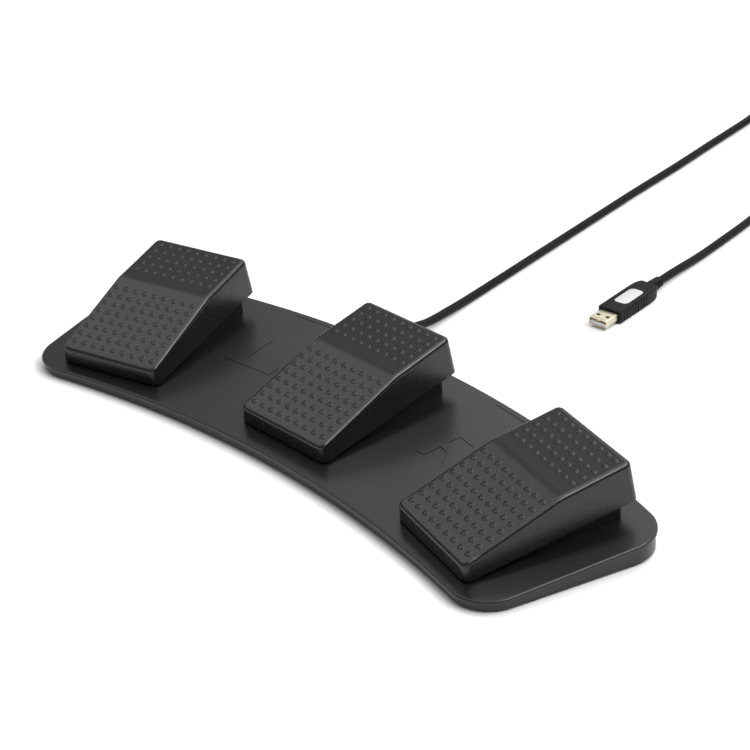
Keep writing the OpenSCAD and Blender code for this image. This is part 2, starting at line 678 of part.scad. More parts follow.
module plug_boot() color([0.07, 0.07, 0.07]) at_plug() difference() {
    rotate([-90, 0, 0]) cylinder(r1 = cable_d / 2 + 0.9, r2 = boot_r, h = boot_l);
    for (i = [0:2], side = [-1, 1])
        translate([side * boot_slot_x - boot_slot.x / 2, 1.6 + i * boot_l / 3.6, -boot_r])
            cube([boot_slot.x, boot_slot.y, 2 * boot_r]);
}

rib_r = 0.55;
rib_pitch = 3;
module grip_outline() difference() {
    shoulder = grip_l - 10;
    polygon([[-grip_w / 2 + 1, shell_y], [-grip_w / 2, shell_y - 1], [-grip_w / 2, shell_y - shoulder],
        [-grip_w / 2 + 0.4, grip_y + 5], [-grip_w / 2 + 1.8, grip_y + 1], [-grip_w / 2 + 3, grip_y],
        [grip_w / 2 - 3, grip_y], [grip_w / 2 - 1.8, grip_y + 1], [grip_w / 2 - 0.4, grip_y + 5],
        [grip_w / 2, shell_y - shoulder], [grip_w / 2, shell_y - 1], [grip_w / 2 - 1, shell_y]]);
    for (side = [-1, 1], i = [0:rib_count - 1])
        translate([side * (grip_w / 2 + 0.1), shell_y - 4.5 - i * rib_pitch]) circle(rib_r, $fn = 16);
}

// Recess of the bare plate in the grip's upper face
plate_t = 0.6;
plate_sunk = 0.2;
plate_corner = 3.2;
module plate_outline(grow) {
    r = plate_corner + grow;
    l = label_l + 2 * grow;
    w = label_w + 2 * grow;
    translate([-w / 2 + r, -l / 2]) square([w - 2 * r, l]);
    translate([-w / 2, -l / 2 + r]) square([w, l - 2 * r]);
    for (x = [-w / 2 + r, w / 2 - r], y = [-l / 2 + r, l / 2 - r]) translate([x, y]) circle(r);
}
module at_plate() translate([0, shell_y - grip_l / 2 + 0.8, grip_t / 2 - plate_t]) children();

module plug_grip() color([0.08, 0.08, 0.08]) at_plug() difference() {
    translate([0, 0, -grip_t / 2]) linear_extrude(grip_t) grip_outline();
    at_plate() linear_extrude(plate_t + cut) plate_outline(0);
    for (x = [-3.8, 3.8]) translate([x, grip_y + 8, grip_t / 2 - 0.8]) cylinder(d = 1.1, h = 1, $fn = 24);
}

module plug_plate() color([0.93, 0.93, 0.93]) at_plug() at_plate()
    linear_extrude(plate_t - plate_sunk) plate_outline(-0.05);

module usb_shell() color([0.83, 0.8, 0.68]) at_plug() translate([0, shell_y, 0]) difference() {
    translate([-shell_w / 2, 0, -shell_h / 2]) cube([shell_w, shell_l, shell_h]);
    translate([-shell_w / 2 + shell_t, -cut, -shell_h / 2 + shell_t])
        cube([shell_w - 2 * shell_t, shell_l + 2 * cut, shell_h - 2 * shell_t]);
    for (x = [-3.2, 3.2]) translate([x - 1.2, shell_l - 6.8, -shell_h]) cube([2.4, 2.4, 2 * shell_h]);
}

tongue_t = 1.9;
module usb_tongue() color([0.9, 0.9, 0.88]) at_plug()
    translate([-shell_w / 2 + shell_t, shell_y, -shell_h / 2 + shell_t])
        cube([shell_w - 2 * shell_t, shell_l - 0.6, tongue_t]);

module usb_contacts() color([0.85, 0.65, 0.25]) at_plug() for (x = [-3.5, -1, 1, 3.5])
    translate([x - 0.5, shell_y, -shell_h / 2 + shell_t + tongue_t]) cube([1, shell_l - 1.6, 0.25]);

deck();
base_tray();
rubber_feet();
tray_screws();
housing_screws();
at_pedal(-1) housing();  // left_housing
at_pedal(0) housing();  // middle_housing
at_pedal(1) housing();  // right_housing
at_pedal(-1) hinge_pin();  // left_hinge_pin
at_pedal(0) hinge_pin();  // middle_hinge_pin
at_pedal(1) hinge_pin();  // right_hinge_pin
at_pedal(-1) pedal_cover();  // left_pedal_cover
at_pedal(0) pedal_cover();  // middle_pedal_cover
at_pedal(1) pedal_cover();  // right_pedal_cover
at_pedal(-1) return_spring();  // left_return_spring
at_pedal(0) return_spring();  // middle_return_spring
at_pedal(1) return_spring();  // right_return_spring
at_pedal(-1) switch_board();  // left_switch_board
at_pedal(0) switch_board();  // middle_switch_board
at_pedal(1) switch_board();  // right_switch_board
at_pedal(-1) switch_body();  // left_switch_body
at_pedal(0) switch_body();  // middle_switch_body
at_pedal(1) switch_body();  // right_switch_body
at_pedal(-1) switch_plunger();  // left_switch_plunger
at_pedal(0) switch_plunger();  // middle_switch_plunger
at_pedal(1) switch_plunger();  // right_switch_plunger
left_wire();
middle_wire();
right_wire();
controller_board();
controller_parts();
usb_leads();
cable_gland();
cable_lead();
cable_coil();
cable_tie();
cable_tail();
plug_boot();
plug_grip();
plug_plate();
usb_shell();
usb_tongue();
usb_contacts();
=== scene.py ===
"""Looks of the three-pedal USB foot switch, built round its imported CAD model."""
import math

import bpy
from mathutils import Matrix, Vector


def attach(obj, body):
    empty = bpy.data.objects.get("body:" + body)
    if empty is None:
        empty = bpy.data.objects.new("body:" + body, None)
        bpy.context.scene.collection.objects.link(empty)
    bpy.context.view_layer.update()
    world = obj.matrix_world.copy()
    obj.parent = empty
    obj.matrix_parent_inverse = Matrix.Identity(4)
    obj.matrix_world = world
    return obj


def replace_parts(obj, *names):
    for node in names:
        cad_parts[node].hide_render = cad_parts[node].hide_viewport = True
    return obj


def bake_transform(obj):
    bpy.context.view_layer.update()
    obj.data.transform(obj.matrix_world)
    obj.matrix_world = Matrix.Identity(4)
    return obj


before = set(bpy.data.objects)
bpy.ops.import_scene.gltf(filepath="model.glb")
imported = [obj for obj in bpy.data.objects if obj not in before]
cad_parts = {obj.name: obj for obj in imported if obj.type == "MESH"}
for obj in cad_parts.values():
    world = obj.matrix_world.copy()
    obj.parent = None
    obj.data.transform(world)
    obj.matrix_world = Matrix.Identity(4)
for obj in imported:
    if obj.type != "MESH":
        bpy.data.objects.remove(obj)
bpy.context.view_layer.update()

# Sizes in millimetres and degrees, as in the part's source
FAN_ANGLE, FAN_R = 15.0, 492.0
FRONT_MARGIN, FRONT_R, BASE_DEPTH, END_MARGIN, CORNER_R = 13.0, 612.0, 120.5, 53.5, 22.0
TILT, BASE_H, FOOT_H, DECK_T, DECK_LIP = 3.5, 7.4, 1.2, 2.2, 1.0
PEDAL_W, PEDAL_L, CREASE_Y = 64.4, 98.8, 56.6
FRONT_H, CREASE_H, BACK_H = 11.4, 22.9, 24.3
COVER_T, COVER_DRAFT, SKIRT_GAP = 2.2, 1.1, 1.6
REST_ANGLE, HINGE_Y, HINGE_Z = 6.0, 9.5, 6.0
CABLE_D = 5.0
GRIP_L, GRIP_W, GRIP_T, BOOT_L, BOOT_R = 44.0, 16.0, 8.0, 11.0, 3.9
SHELL_W, SHELL_H, SHELL_L, SHELL_T = 12.0, 4.5, 12.0, 0.3
PLUG_AT, PLUG_TURN = Vector((14.5, 255.0, GRIP_T / 2)), 187.6
SIDES = {"left": -1, "middle": 0, "right": 1}

MM = 0.001
METRES = Matrix.Scale(MM, 4)


def shift(x, y, z):
    return Matrix.Translation((x, y, z))


def turn(degrees, axis):
    return Matrix.Rotation(math.radians(degrees), 4, axis)


def turned(p, degrees):
    c, s = math.cos(math.radians(degrees)), math.sin(math.radians(degrees))
    return (p[0] * c - p[1] * s, p[0] * s + p[1] * c)


def full_turn(n):
    """Angles of n even steps round a circle."""
    return [2 * math.pi * i / n for i in range(n)]


def quarter(n):
    """Angles of n even steps from 0 to 90 degrees, with both ends."""
    return [math.radians(90 * k / n) for k in range(n + 1)]


def arc(centre, r, start, stop, n, first=0):
    turns = [math.radians(start + (stop - start) * i / n) for i in range(first, n + 1)]
    return [(centre[0] + r * math.cos(a), centre[1] + r * math.sin(a)) for a in turns]


def disc(x, y, r, n):
    return [(x + r * math.cos(a), y + r * math.sin(a)) for a in full_turn(n)]


def add_object(name, data):
    obj = bpy.data.objects.new(name, data)
    bpy.context.scene.collection.objects.link(obj)
    return obj


# Plan of the base, and the frames of deck, pedals and plug
fan_centre = (0.0, -FAN_R)
front_centre = (0.0, -FRONT_MARGIN - FRONT_R)
back_y = BASE_DEPTH - FRONT_MARGIN
back_r = FAN_R + back_y
corner_x = END_MARGIN - CORNER_R
front_seen = turned((0.0, front_centre[1] - fan_centre[1]), FAN_ANGLE)
front_reach = math.sqrt((FRONT_R + CORNER_R) ** 2 - (corner_x - front_seen[0]) ** 2)
back_reach = math.sqrt((back_r - CORNER_R) ** 2 - corner_x ** 2)


def from_fan(p):
    x, y = turned(p, -FAN_ANGLE)
    return (x, y - FAN_R)


front_corner = from_fan((corner_x, front_seen[1] + front_reach))
back_corner = from_fan((corner_x, back_reach))
front_turn = math.degrees(math.atan2(front_corner[1] - front_centre[1], front_corner[0]))
back_turn = math.degrees(math.atan2(back_corner[1] - fan_centre[1], back_corner[0]))

deck_z = FOOT_H + BASE_H
sin_t, cos_t = math.sin(math.radians(TILT)), math.cos(math.radians(TILT))
y_front = (front_corner[1] - CORNER_R) * cos_t
y_back = back_y * cos_t + DECK_T * sin_t
y_mid = (y_front + y_back) / 2
ON_DECK = shift(0, -y_mid, deck_z) @ turn(TILT, "X")
AT_REST = shift(0, HINGE_Y, HINGE_Z) @ turn(REST_ANGLE, "X") @ shift(0, -HINGE_Y, -HINGE_Z)
AT_PLUG = Matrix.Translation(PLUG_AT) @ turn(PLUG_TURN, "Z")


def about_fan(degrees):
    return shift(0, -FAN_R, 0) @ turn(-degrees, "Z") @ shift(0, FAN_R, 0)


def at_pedal(side):
    return ON_DECK @ about_fan(side * FAN_ANGLE)


# Camera at the photograph's place
LENS, SENSOR_W, NEAR, FAR = 102.53, 36.0, 0.05, 30.0
CAMERA_AT, CAMERA_ROLL = Vector((742.998, -662.368, 583.662)), -1.4034
CAMERA_BACK = Vector((0.63993635, -0.59741155, 0.48330208))


def make_camera():
    data = bpy.data.cameras.new("camera")
    data.lens, data.sensor_width = LENS, SENSOR_W
    data.clip_start, data.clip_end = NEAR, FAR
    camera = add_object("camera", data)
    back = CAMERA_BACK.normalized()
    right = Vector((0, 0, 1)).cross(back).normalized()
    up = back.cross(right)
    roll = math.radians(CAMERA_ROLL)
    across = right * math.cos(roll) + up * math.sin(roll)
    upward = up * math.cos(roll) - right * math.sin(roll)
    axes = Matrix((across, upward, back)).transposed().to_4x4()
    camera.matrix_world = Matrix.Translation(CAMERA_AT * MM) @ axes
    bpy.context.scene.camera = camera


make_camera()


# Materials: every one is a few layers of noise on the plain shader
NOISE_SPAN = (0.3, 0.7)                     # where most of the noise lies
FACES_UP = (0.75, 0.92)                     # upward share of a normal, grain from none to full
DRIFT_MM, DRIFT_SPAN = 38.0, (0.35, 0.65)
GRAIN_STRENGTH, WAVE_STRENGTH = 0.8, 0.3
WAVE_SIZE, WAVE_DEPTH = 6, 0.4              # in sizes and depths of the grain
STAIN_MM, STAIN_SPAN = 4.0, (0.3, 0.75)
LINE_STRETCH, LINE_DEPTH, LINE_STRENGTH = (1.0, 0.06, 1.0), 0.01, 0.4


def set_range(node, *numbers):
    for name, number in zip(("From Min", "From Max", "To Min", "To Max"), numbers):
        node.inputs[name].default_value = number


class Paint:
    """A principled material with helpers for its noise layers."""

    def __init__(self, name, roughness=0.5, metallic=0.0, specular=0.5):
        self.material = bpy.data.materials.new(name)
        self.material.use_nodes = True
        self.tree = self.material.node_tree
        self.tree.nodes.clear()
        out = self.add("ShaderNodeOutputMaterial")
        self.shader = self.add("ShaderNodeBsdfPrincipled")
        self.link(self.shader.outputs[0], out.inputs[0])
        self.shader.inputs["Roughness"].default_value = roughness
        self.shader.inputs["Metallic"].default_value = metallic
        self.shader.inputs["Specular IOR Level"].default_value = specular
        self.coord = self.add("ShaderNodeTexCoord").outputs["Object"]

    def add(self, kind):
        return self.tree.nodes.new(kind)

    def link(self, a, b):
        self.tree.links.new(a, b)

    def noise(self, size_mm, detail=3.0, rough=0.55, stretch=None):
        node = self.add("ShaderNodeTexNoise")
        node.inputs["Scale"].default_value = 1 / (size_mm * MM)
        node.inputs["Detail"].default_value = detail
        node.inputs["Roughness"].default_value = rough
        source = self.coord
        if stretch:
            mapping = self.add("ShaderNodeMapping")
            mapping.inputs["Scale"].default_value = stretch
            self.link(source, mapping.inputs["Vector"])
            source = mapping.outputs["Vector"]
        self.link(source, node.inputs["Vector"])
        return node.outputs["Fac"]

    def spread(self, value, low, high, at=NOISE_SPAN):
        node = self.add("ShaderNodeMapRange")
        set_range(node, *at, low, high)
        self.link(value, node.inputs["Value"])
        return node.outputs["Result"]

    def where_up(self, value):
        """The value on faces that look up, nothing on upright ones."""
        split = self.add("ShaderNodeSeparateXYZ")
        self.link(self.add("ShaderNodeTexCoord").outputs["Normal"], split.inputs[0])
        product = self.add("ShaderNodeMath")
        product.operation = "MULTIPLY"
        self.link(value, product.inputs[0])
        self.link(self.spread(split.outputs["Z"], 0.0, 1.0, at=FACES_UP), product.inputs[1])
        return product.outputs[0]

    def colours(self, value, dark, light, at=NOISE_SPAN):
        ramp = self.add("ShaderNodeValToRGB")
        for element, position, colour in zip(ramp.color_ramp.elements, at, (dark, light)):
            element.position = position
            element.color = (*colour, 1)
        self.link(value, ramp.inputs["Fac"])
        self.link(ramp.outputs["Color"], self.shader.inputs["Base Color"])

    def rough(self, value, low, high):
        self.link(self.spread(value, low, high), self.shader.inputs["Roughness"])

    def bump(self, value, depth_mm, strength, after=None):
        node = self.add("ShaderNodeBump")
        node.inputs["Strength"].default_value = strength
        node.inputs["Distance"].default_value = depth_mm * MM
        self.link(value, node.inputs["Height"])
        if after:
            self.link(after, node.inputs["Normal"])
        self.link(node.outputs["Normal"], self.shader.inputs["Normal"])
        return node.outputs["Normal"]


def grained(name, dark, light, rough, grain_mm, depth_mm, specular=0.5, top_only=False):
    """Moulded plastic or rubber: broad colour drift, fine spark-eroded grain, uneven gloss."""
    paint = Paint(name, specular=specular)
    broad = paint.noise(DRIFT_MM, detail=2.0)
    fine = paint.noise(grain_mm, detail=4.0, rough=0.65)
    paint.colours(broad, dark, light, at=DRIFT_SPAN)
    paint.rough(fine, *rough)
    if top_only:
        fine = paint.where_up(fine)
    first = paint.bump(fine, depth_mm, GRAIN_STRENGTH)
    waves = paint.noise(grain_mm * WAVE_SIZE, detail=2.0)
    paint.bump(waves, depth_mm * WAVE_DEPTH, WAVE_STRENGTH, after=first)
    return paint.material


def brushed(name, dark, light, rough, line_mm=0.25):
    """Drawn or rolled metal with fine lines and small stains."""
    paint = Paint(name, metallic=1.0)
    lines = paint.noise(line_mm, stretch=LINE_STRETCH)
    stains = paint.noise(STAIN_MM, detail=4.0)
    paint.colours(stains, dark, light, at=STAIN_SPAN)
    paint.rough(lines, *rough)
    paint.bump(lines, LINE_DEPTH, LINE_STRENGTH)
    return paint.material


def greys(dark, light):
    return (dark,) * 3, (light,) * 3


# Dark and light colour, range of roughness, then size and depth of the grain in millimetres, and specular level
BLACKS = (0.0055, 0.0055, 0.0057), (0.0075, 0.0075, 0.0078)
deck_plastic = grained("deck_plastic", *BLACKS, (0.26, 0.34), 0.55, 0.008)
cover_plastic = grained("cover_plastic", *BLACKS, (0.24, 0.29), 0.60, 0.008, top_only=True)
tray_plastic = grained("tray_plastic", *BLACKS, (0.26, 0.36), 0.60, 0.010)
house_plastic = grained("house_plastic", *greys(0.005, 0.008), (0.45, 0.6), 0.7, 0.02, 0.25)
foot_rubber = grained("foot_rubber", *greys(0.010, 0.018), (0.75, 0.9), 0.8, 0.06, 0.25)
cable_rubber = grained("cable_rubber", *greys(0.011, 0.015), (0.42, 0.52), 0.9, 0.012, 0.06)
grip_plastic = grained("grip_plastic", *greys(0.006, 0.010), (0.48, 0.62), 0.45, 0.03, 0.15)
strap_plastic = grained("strap_plastic", *greys(0.010, 0.02), (0.6, 0.75), 0.5, 0.05, 0.3)
plate_plastic = grained("plate_plastic", *greys(0.56, 0.61), (0.34, 0.46), 0.5, 0.012, 0.4)
switch_plastic = grained("switch_plastic", (0.012, 0.012, 0.013), (0.022, 0.022, 0.023), (0.28, 0.4), 0.5, 0.015)
plunger_plastic = grained("plunger_plastic", (0.42, 0.03, 0.022), (0.55, 0.05, 0.035), (0.28, 0.4), 0.4, 0.012)
board_laminate = grained("board_laminate", (0.008, 0.075, 0.03), (0.014, 0.12, 0.05), (0.3, 0.45), 0.4, 0.02)
wire_sleeve = grained("wire_sleeve", (0.03, 0.03, 0.032), (0.05, 0.05, 0.053), (0.38, 0.5), 0.5, 0.01, 0.4)
tongue_plastic = grained("tongue_plastic", (0.7, 0.7, 0.68), (0.8, 0.8, 0.78), (0.35, 0.5), 0.4, 0.012)

# Dark and light colour, range of roughness, then the width of the lines in millimetres
steel = brushed("steel", (0.42, 0.42, 0.43), (0.62, 0.62, 0.63), (0.25, 0.42))
zinc = brushed("zinc", (0.5, 0.5, 0.5), (0.68, 0.67, 0.65), (0.3, 0.45))
shell_plating = brushed("shell_plating", (0.60, 0.55, 0.42), (0.78, 0.73, 0.58), (0.30, 0.44), 0.18)
gold = brushed("gold", (0.72, 0.48, 0.14), (0.88, 0.64, 0.24), (0.2, 0.34))

# Angles up to which two faces shade as one
SMOOTH, SMOOTH_COVER, SMOOTH_SPRING = 38.0, 32.0, 60.0


class Shape:
    """Points and faces of a mesh, in millimetres of a local frame."""

    def __init__(self):
        self.points = []
        self.faces = []

    def ring(self, points):
        start = len(self.points)
        self.points.extend(Vector(p) for p in points)
        return list(range(start, len(self.points)))

    def bridge(self, low, high):
        n = len(low)
        for i in range(n):
            j = (i + 1) % n
            self.faces.append((low[i], low[j], high[j], high[i]))

    def chain(self, loops):
        for low, high in zip(loops, loops[1:]):
            self.bridge(low, high)

    def cap(self, ring, up=True):
        self.faces.append(tuple(ring if up else reversed(ring)))

    def loft(self, rings, closed_ends=True):
        """Rings run counter-clockwise seen from the side that they are stacked towards."""
        loops = [self.ring(r) for r in rings]
        self.chain(loops)
        if closed_ends:
            self.cap(loops[0], up=False)
            self.cap(loops[-1])
        return loops

    def prism(self, plan, low, high):
        self.loft([[(x, y, z) for x, y in plan] for z in (low, high)])

    def box(self, low, high):
        (x0, y0, z0), (x1, y1, z1) = low, high
        self.prism([(x0, y0), (x1, y0), (x1, y1), (x0, y1)], z0, z1)

    def make(self, name, place, material, body="base", slot=None, smooth=SMOOTH, shown=True):
        mesh = bpy.data.meshes.new(name)
        move = METRES @ place
        mesh.from_pydata([move @ p for p in self.points], [], self.faces)
        return finish_mesh(name, mesh, material, body, smooth, shown)


def finish_mesh(name, mesh, material, body, smooth=SMOOTH, shown=True):
    mesh.validate()
    mesh.materials.clear()
    mesh.materials.append(material)
    mesh.shade_smooth()
    mesh.set_sharp_from_angle(angle=math.radians(smooth))
    obj = add_object(name, mesh)
    if shown:
        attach(obj, body)
    return obj


def cut_away(name, shape, cutter, place, material):
    """The shape less the cutter, as one finished piece of the base."""
    solid = shape.make(name + "_blank", place, material, shown=False)
    tool = cutter.make(name + "_tool", place, material, shown=False)
    change = solid.modifiers.new("cut", "BOOLEAN")
    change.object, change.operation, change.solver = tool, "DIFFERENCE", "EXACT"
    change.use_self = True
    bpy.context.view_layer.update()
    changed = solid.evaluated_get(bpy.context.evaluated_depsgraph_get())
    mesh = bpy.data.meshes.new_from_object(changed)
    mesh.name = name
    for used in (solid, tool):
        old = used.data
        bpy.data.objects.remove(used)
        bpy.data.meshes.remove(old)
    return finish_mesh(name, mesh, material, "base")


# Cord: strain relief, free stretch, coil, free stretch, plug
GLAND_ANGLE, GLAND_DROP, GLAND_L = -4.0, 6.7, 15.0
COIL_X, COIL_Y, COIL_R, COIL_TURNS, COIL_STEP = -72.0, 534.0, 37.0, 2.5, 5.6
COIL_CLIMB = 0.5                            # turns from the lower to the upper layer
TIE_T, TIE_GAP = 0.9, 0.3
ON_FLOOR = CABLE_D / 2
LEAD_POINTS = [(-47, 118, 5.2), (-51, 142, 3.6), (-56, 170, ON_FLOOR), (-63, 215, ON_FLOOR),
               (-70, 260, ON_FLOOR), (-77, 305, ON_FLOOR), (-84, 350, ON_FLOOR), (-91, 400, ON_FLOOR),
               (-99, 450, ON_FLOOR), (-106, 495, ON_FLOOR)]
TAIL_POINTS = [(-34, 487, 6.2), (-29, 462, 3.8), (-21, 435, ON_FLOOR), (-13, 410, ON_FLOOR),
               (-5, 380, ON_FLOOR), (0, 355, ON_FLOOR), (4, 330, ON_FLOOR), (8, 303, ON_FLOOR)]
GLAND_STRAIGHT, COIL_STRAIGHT, PLUG_STRAIGHT = 12, 14, 18
LEAD_SAG, TAIL_SAG, PLUG_SAG = 0.3, 0.4, 0.3
CURVE_STEPS, COIL_RINGS, CABLE_ROUND = 8, 48, 6
rim_r = back_r - DECK_LIP
sin_g, cos_g = math.sin(math.radians(GLAND_ANGLE)), math.cos(math.radians(GLAND_ANGLE))
gland_foot = ON_DECK @ Vector((rim_r * sin_g, rim_r * cos_g - FAN_R, -GLAND_DROP))
gland_way = Vector((sin_g, cos_g * cos_t, cos_g * sin_t))
cable_exit = gland_foot + GLAND_L * gland_way
plug_way = Vector((-math.sin(math.radians(PLUG_TURN)), math.cos(math.radians(PLUG_TURN)), 0))
coil_low = CABLE_D / 2 + TIE_T + TIE_GAP
coil_loops = 2 * COIL_TURNS + COIL_CLIMB


def coil_point(t):
    r = COIL_R - COIL_STEP * min(t, coil_loops - t)
    s = max(0.0, min(1.0, (t - COIL_TURNS) / COIL_CLIMB))
    z = coil_low + COIL_STEP * s * s * (3 - 2 * s)
    a = 2 * math.pi * t
    return Vector((COIL_X - r * math.cos(a), COIL_Y + r * math.sin(a), z))


def smooth_path(points):
    """Catmull-Rom curve through points."""
    n, path = len(points), []
    for i in range(n - 1):
        a, b = points[max(i - 1, 0)], points[i]
        c, d = points[i + 1], points[min(i + 2, n - 1)]
        for k in range(CURVE_STEPS):
            t = k / CURVE_STEPS
            path.append(0.5 * (2 * b + (c - a) * t + (2 * a - 5 * b + 4 * c - d) * t * t
                               + (3 * b - a - 3 * c + d) * t ** 3))
    return path + [points[-1]]


coil_in = coil_point(0) - Vector((0, CABLE_D, 0))
coil_out = coil_point(coil_loops) - Vector((0, CABLE_D, 0))
lead = [cable_exit, cable_exit + GLAND_STRAIGHT * gland_way, *map(Vector, LEAD_POINTS),
        coil_in - Vector((0, COIL_STRAIGHT, LEAD_SAG)), coil_in]
tail = [coil_out, coil_out - Vector((0, COIL_STRAIGHT, TAIL_SAG)), *map(Vector, TAIL_POINTS),
        PLUG_AT - PLUG_STRAIGHT * plug_way - Vector((0, 0, PLUG_SAG)), PLUG_AT]
coil = [coil_point(i / COIL_RINGS) for i in range(int(COIL_RINGS * coil_loops) + 1)]
cable_path = smooth_path(lead) + coil + smooth_path(tail)
cable_length = sum((b - a).length for a, b in zip(cable_path, cable_path[1:])) * MM


def make_cable():
    data = bpy.data.curves.new("cable", "CURVE")
    data.dimensions = "3D"
    data.bevel_depth = CABLE_D / 2 * MM
    data.bevel_resolution = CABLE_ROUND
    data.use_fill_caps = True
    spline = data.splines.new("POLY")
    spline.points.add(len(cable_path) - 1)
    for point, place in zip(spline.points, cable_path):
        point.co = (*(place * MM), 1)
    spline.use_smooth = True
    data.materials.append(cable_rubber)
    obj = add_object("cable", data)
    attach(obj, "base")
    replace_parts(obj, "cable_lead", "cable_coil", "cable_tail")
    return obj


cable = make_cable()


# Deck: rounded upper edge, hairline marks of the moulding
RIM_STEPS, CORNER_STEPS = 40, 22
DECK_EDGE, DECK_CUTS, DECK_FOOT, WALL_LAND, TOP_LAND = 1.0, 6, 0.3, 0.25, 0.7
LEFT_MARKS = [[(-91.5, 37.8), (-82.6, 38.2), (-57.7, 41.2), (-58.5, 48.9)], [(-81.2, 45.2), (-84.2, 67.8)]]
RIGHT_MARKS = [[(58.4, 40.8), (65.1, 40.6), (66.4, 51.6), (72.1, 50.5), (78.4, 41.2), (80.4, 38.1)],
               [(66.7, 57.8), (68.0, 64.9), (79.4, 62.6)]]
EDGE_MARK_L, EDGE_MARK_ANGLE, EDGE_MARK_IN, GROOVE = 34.5, 7.5, 4.4, 0.5


def base_outline(inset):
    """Plan of the base, counter-clockwise from the middle of its hollow front."""
    half = (arc(front_centre, FRONT_R + inset, 90, front_turn, RIM_STEPS)
            + arc(front_corner, CORNER_R - inset, front_turn - 180, -FAN_ANGLE, CORNER_STEPS, 1)
            + arc(back_corner, CORNER_R - inset, -FAN_ANGLE, back_turn, CORNER_STEPS)
            + arc(fan_centre, back_r - inset, back_turn, 90, RIM_STEPS, 1))
    return half + [(-x, y) for x, y in reversed(half[1:-1])]


def groove(shape, line):
    """A thin upright strip along one hairline mark, mitred at its turns."""
    points = [Vector(p) for p in line]
    ways = [(b - a).normalized() for a, b in zip(points, points[1:])]
    left, right = [], []
    for p, before, after in zip(points, ways[:1] + ways, ways + ways[-1:]):
        middle = (before + after).normalized()
        side = Vector((-middle.y, middle.x)) * (GROOVE / 2 / middle.dot(after))
        left.append(p + side)
        right.append(p - side)
    shape.prism(right + left[::-1], -GROOVE, GROOVE)


def make_deck():
    plate, marks = Shape(), Shape()
    levels = [(DECK_FOOT, -DECK_T), (0.0, -DECK_T + DECK_FOOT), (0.0, -DECK_EDGE - WALL_LAND)]
    levels += [(DECK_EDGE * (1 - math.cos(a)), -DECK_EDGE * (1 - math.sin(a))) for a in quarter(DECK_CUTS)]
    levels.append((DECK_EDGE + TOP_LAND, 0.0))
    plate.loft([[(x, y, z) for x, y in base_outline(inset)] for inset, z in levels])
    for line in LEFT_MARKS + RIGHT_MARKS:
        groove(marks, line)
    for side in (-1, 1):
        place = about_fan(side * EDGE_MARK_ANGLE)
        ends = [place @ Vector((s * EDGE_MARK_L / 2, back_y - EDGE_MARK_IN, 0)) for s in (-1, 1)]
        groove(marks, [end.xy for end in ends])
    deck = cut_away("deck_plate", plate, marks, ON_DECK, deck_plastic)
    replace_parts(deck, "deck")


make_deck()


# Pedal covers: a bent shell with rounded edges and raised dots
BEND_FROM, BEND_TO, BEND_SOFT, BEND_SAMPLES = CREASE_Y + 0.9, CREASE_Y + 8.0, 2.2, 9
ROLL_L, ROLL_DROP = 4.2, 0.5
front_rise = (CREASE_H - FRONT_H) / CREASE_Y
back_rise = (BACK_H - CREASE_H) / (PEDAL_L - CREASE_Y)


def top_line(y):
    """Height of the top: rolled front, front slope, flatter band behind the bend, back slope."""
    low, high = FRONT_H + BEND_FROM * front_rise, BACK_H - (PEDAL_L - BEND_TO) * back_rise
    if y < BEND_FROM:
        return low + (y - BEND_FROM) * front_rise - ROLL_DROP * max(0.0, 1 - y / ROLL_L) ** 2
    if y > BEND_TO:
        return high + (y - BEND_TO) * back_rise
    return low + (high - low) * (y - BEND_FROM) / (BEND_TO - BEND_FROM)


def top_at(y):
    """The same line with its turns rounded."""
    n = BEND_SAMPLES
    return sum(top_line(y + BEND_SOFT * (2 * k / (n - 1) - 1)) for k in range(n)) / n


# Lines of the top's grid: every dot sits in a cell of DOT_STEPS by DOT_STEPS steps
LID_IN, SEEN_CORNER, CORNER_CELLS = 3.1, 3.8, 8
DOT_X, DOT_Y, DOT_STEPS, DOT_COLUMNS, FRONT_ROWS, BACK_ROWS = 6.75, 6.3, 4, 9, 8, 5
FIRST_ROW, LAST_ROW, BACK_SQUEEZE = 6.4, PEDAL_L - 6.0, 0.955
BEND_STEP, BEND_STEPS, BAND_LINES, LINE_GAP = 0.55, 5, (3.5, 2, 1, 0), 0.5
front_pitch = DOT_Y * math.cos(math.atan(front_rise))
back_pitch = DOT_Y * math.cos(math.atan(back_rise))
dot_xs = [DOT_X * (i - (DOT_COLUMNS - 1) / 2) for i in range(DOT_COLUMNS)]
front_ys = [FIRST_ROW + front_pitch * k for k in range(FRONT_ROWS)]
back_ys = [LAST_ROW - back_pitch * k for k in reversed(range(BACK_ROWS))]


def cell_lines(centres, pitch, low, high):
    """Grid lines of a row of cells, clipped to the top's flat part."""
    borders = [max(low, min(high, c + s * pitch / 2)) for c in centres for s in (-1, 1)]
    borders = borders[:1] + borders[1::2]
    spans = zip(borders, borders[1:])
    return [a + (b - a) * k / DOT_STEPS for a, b in spans for k in range(DOT_STEPS)] + borders[-1:]


half_top = PEDAL_W / 2 - LID_IN
lid_xs = cell_lines(dot_xs, DOT_X, -half_top, half_top)
front_lines = cell_lines(front_ys, front_pitch, LID_IN, PEDAL_L)
back_lines = cell_lines(back_ys, back_pitch, 0, PEDAL_L - LID_IN)
bend_lines = [BEND_FROM + BEND_STEP * k for k in range(-BEND_STEPS, BEND_STEPS + 1)]
bend_lines += [BEND_TO - before for before in BAND_LINES]
bend_low, bend_high = front_lines[-1] + LINE_GAP, back_lines[0] - LINE_GAP
lid_ys = front_lines + [y for y in bend_lines if bend_low < y < bend_high] + back_lines


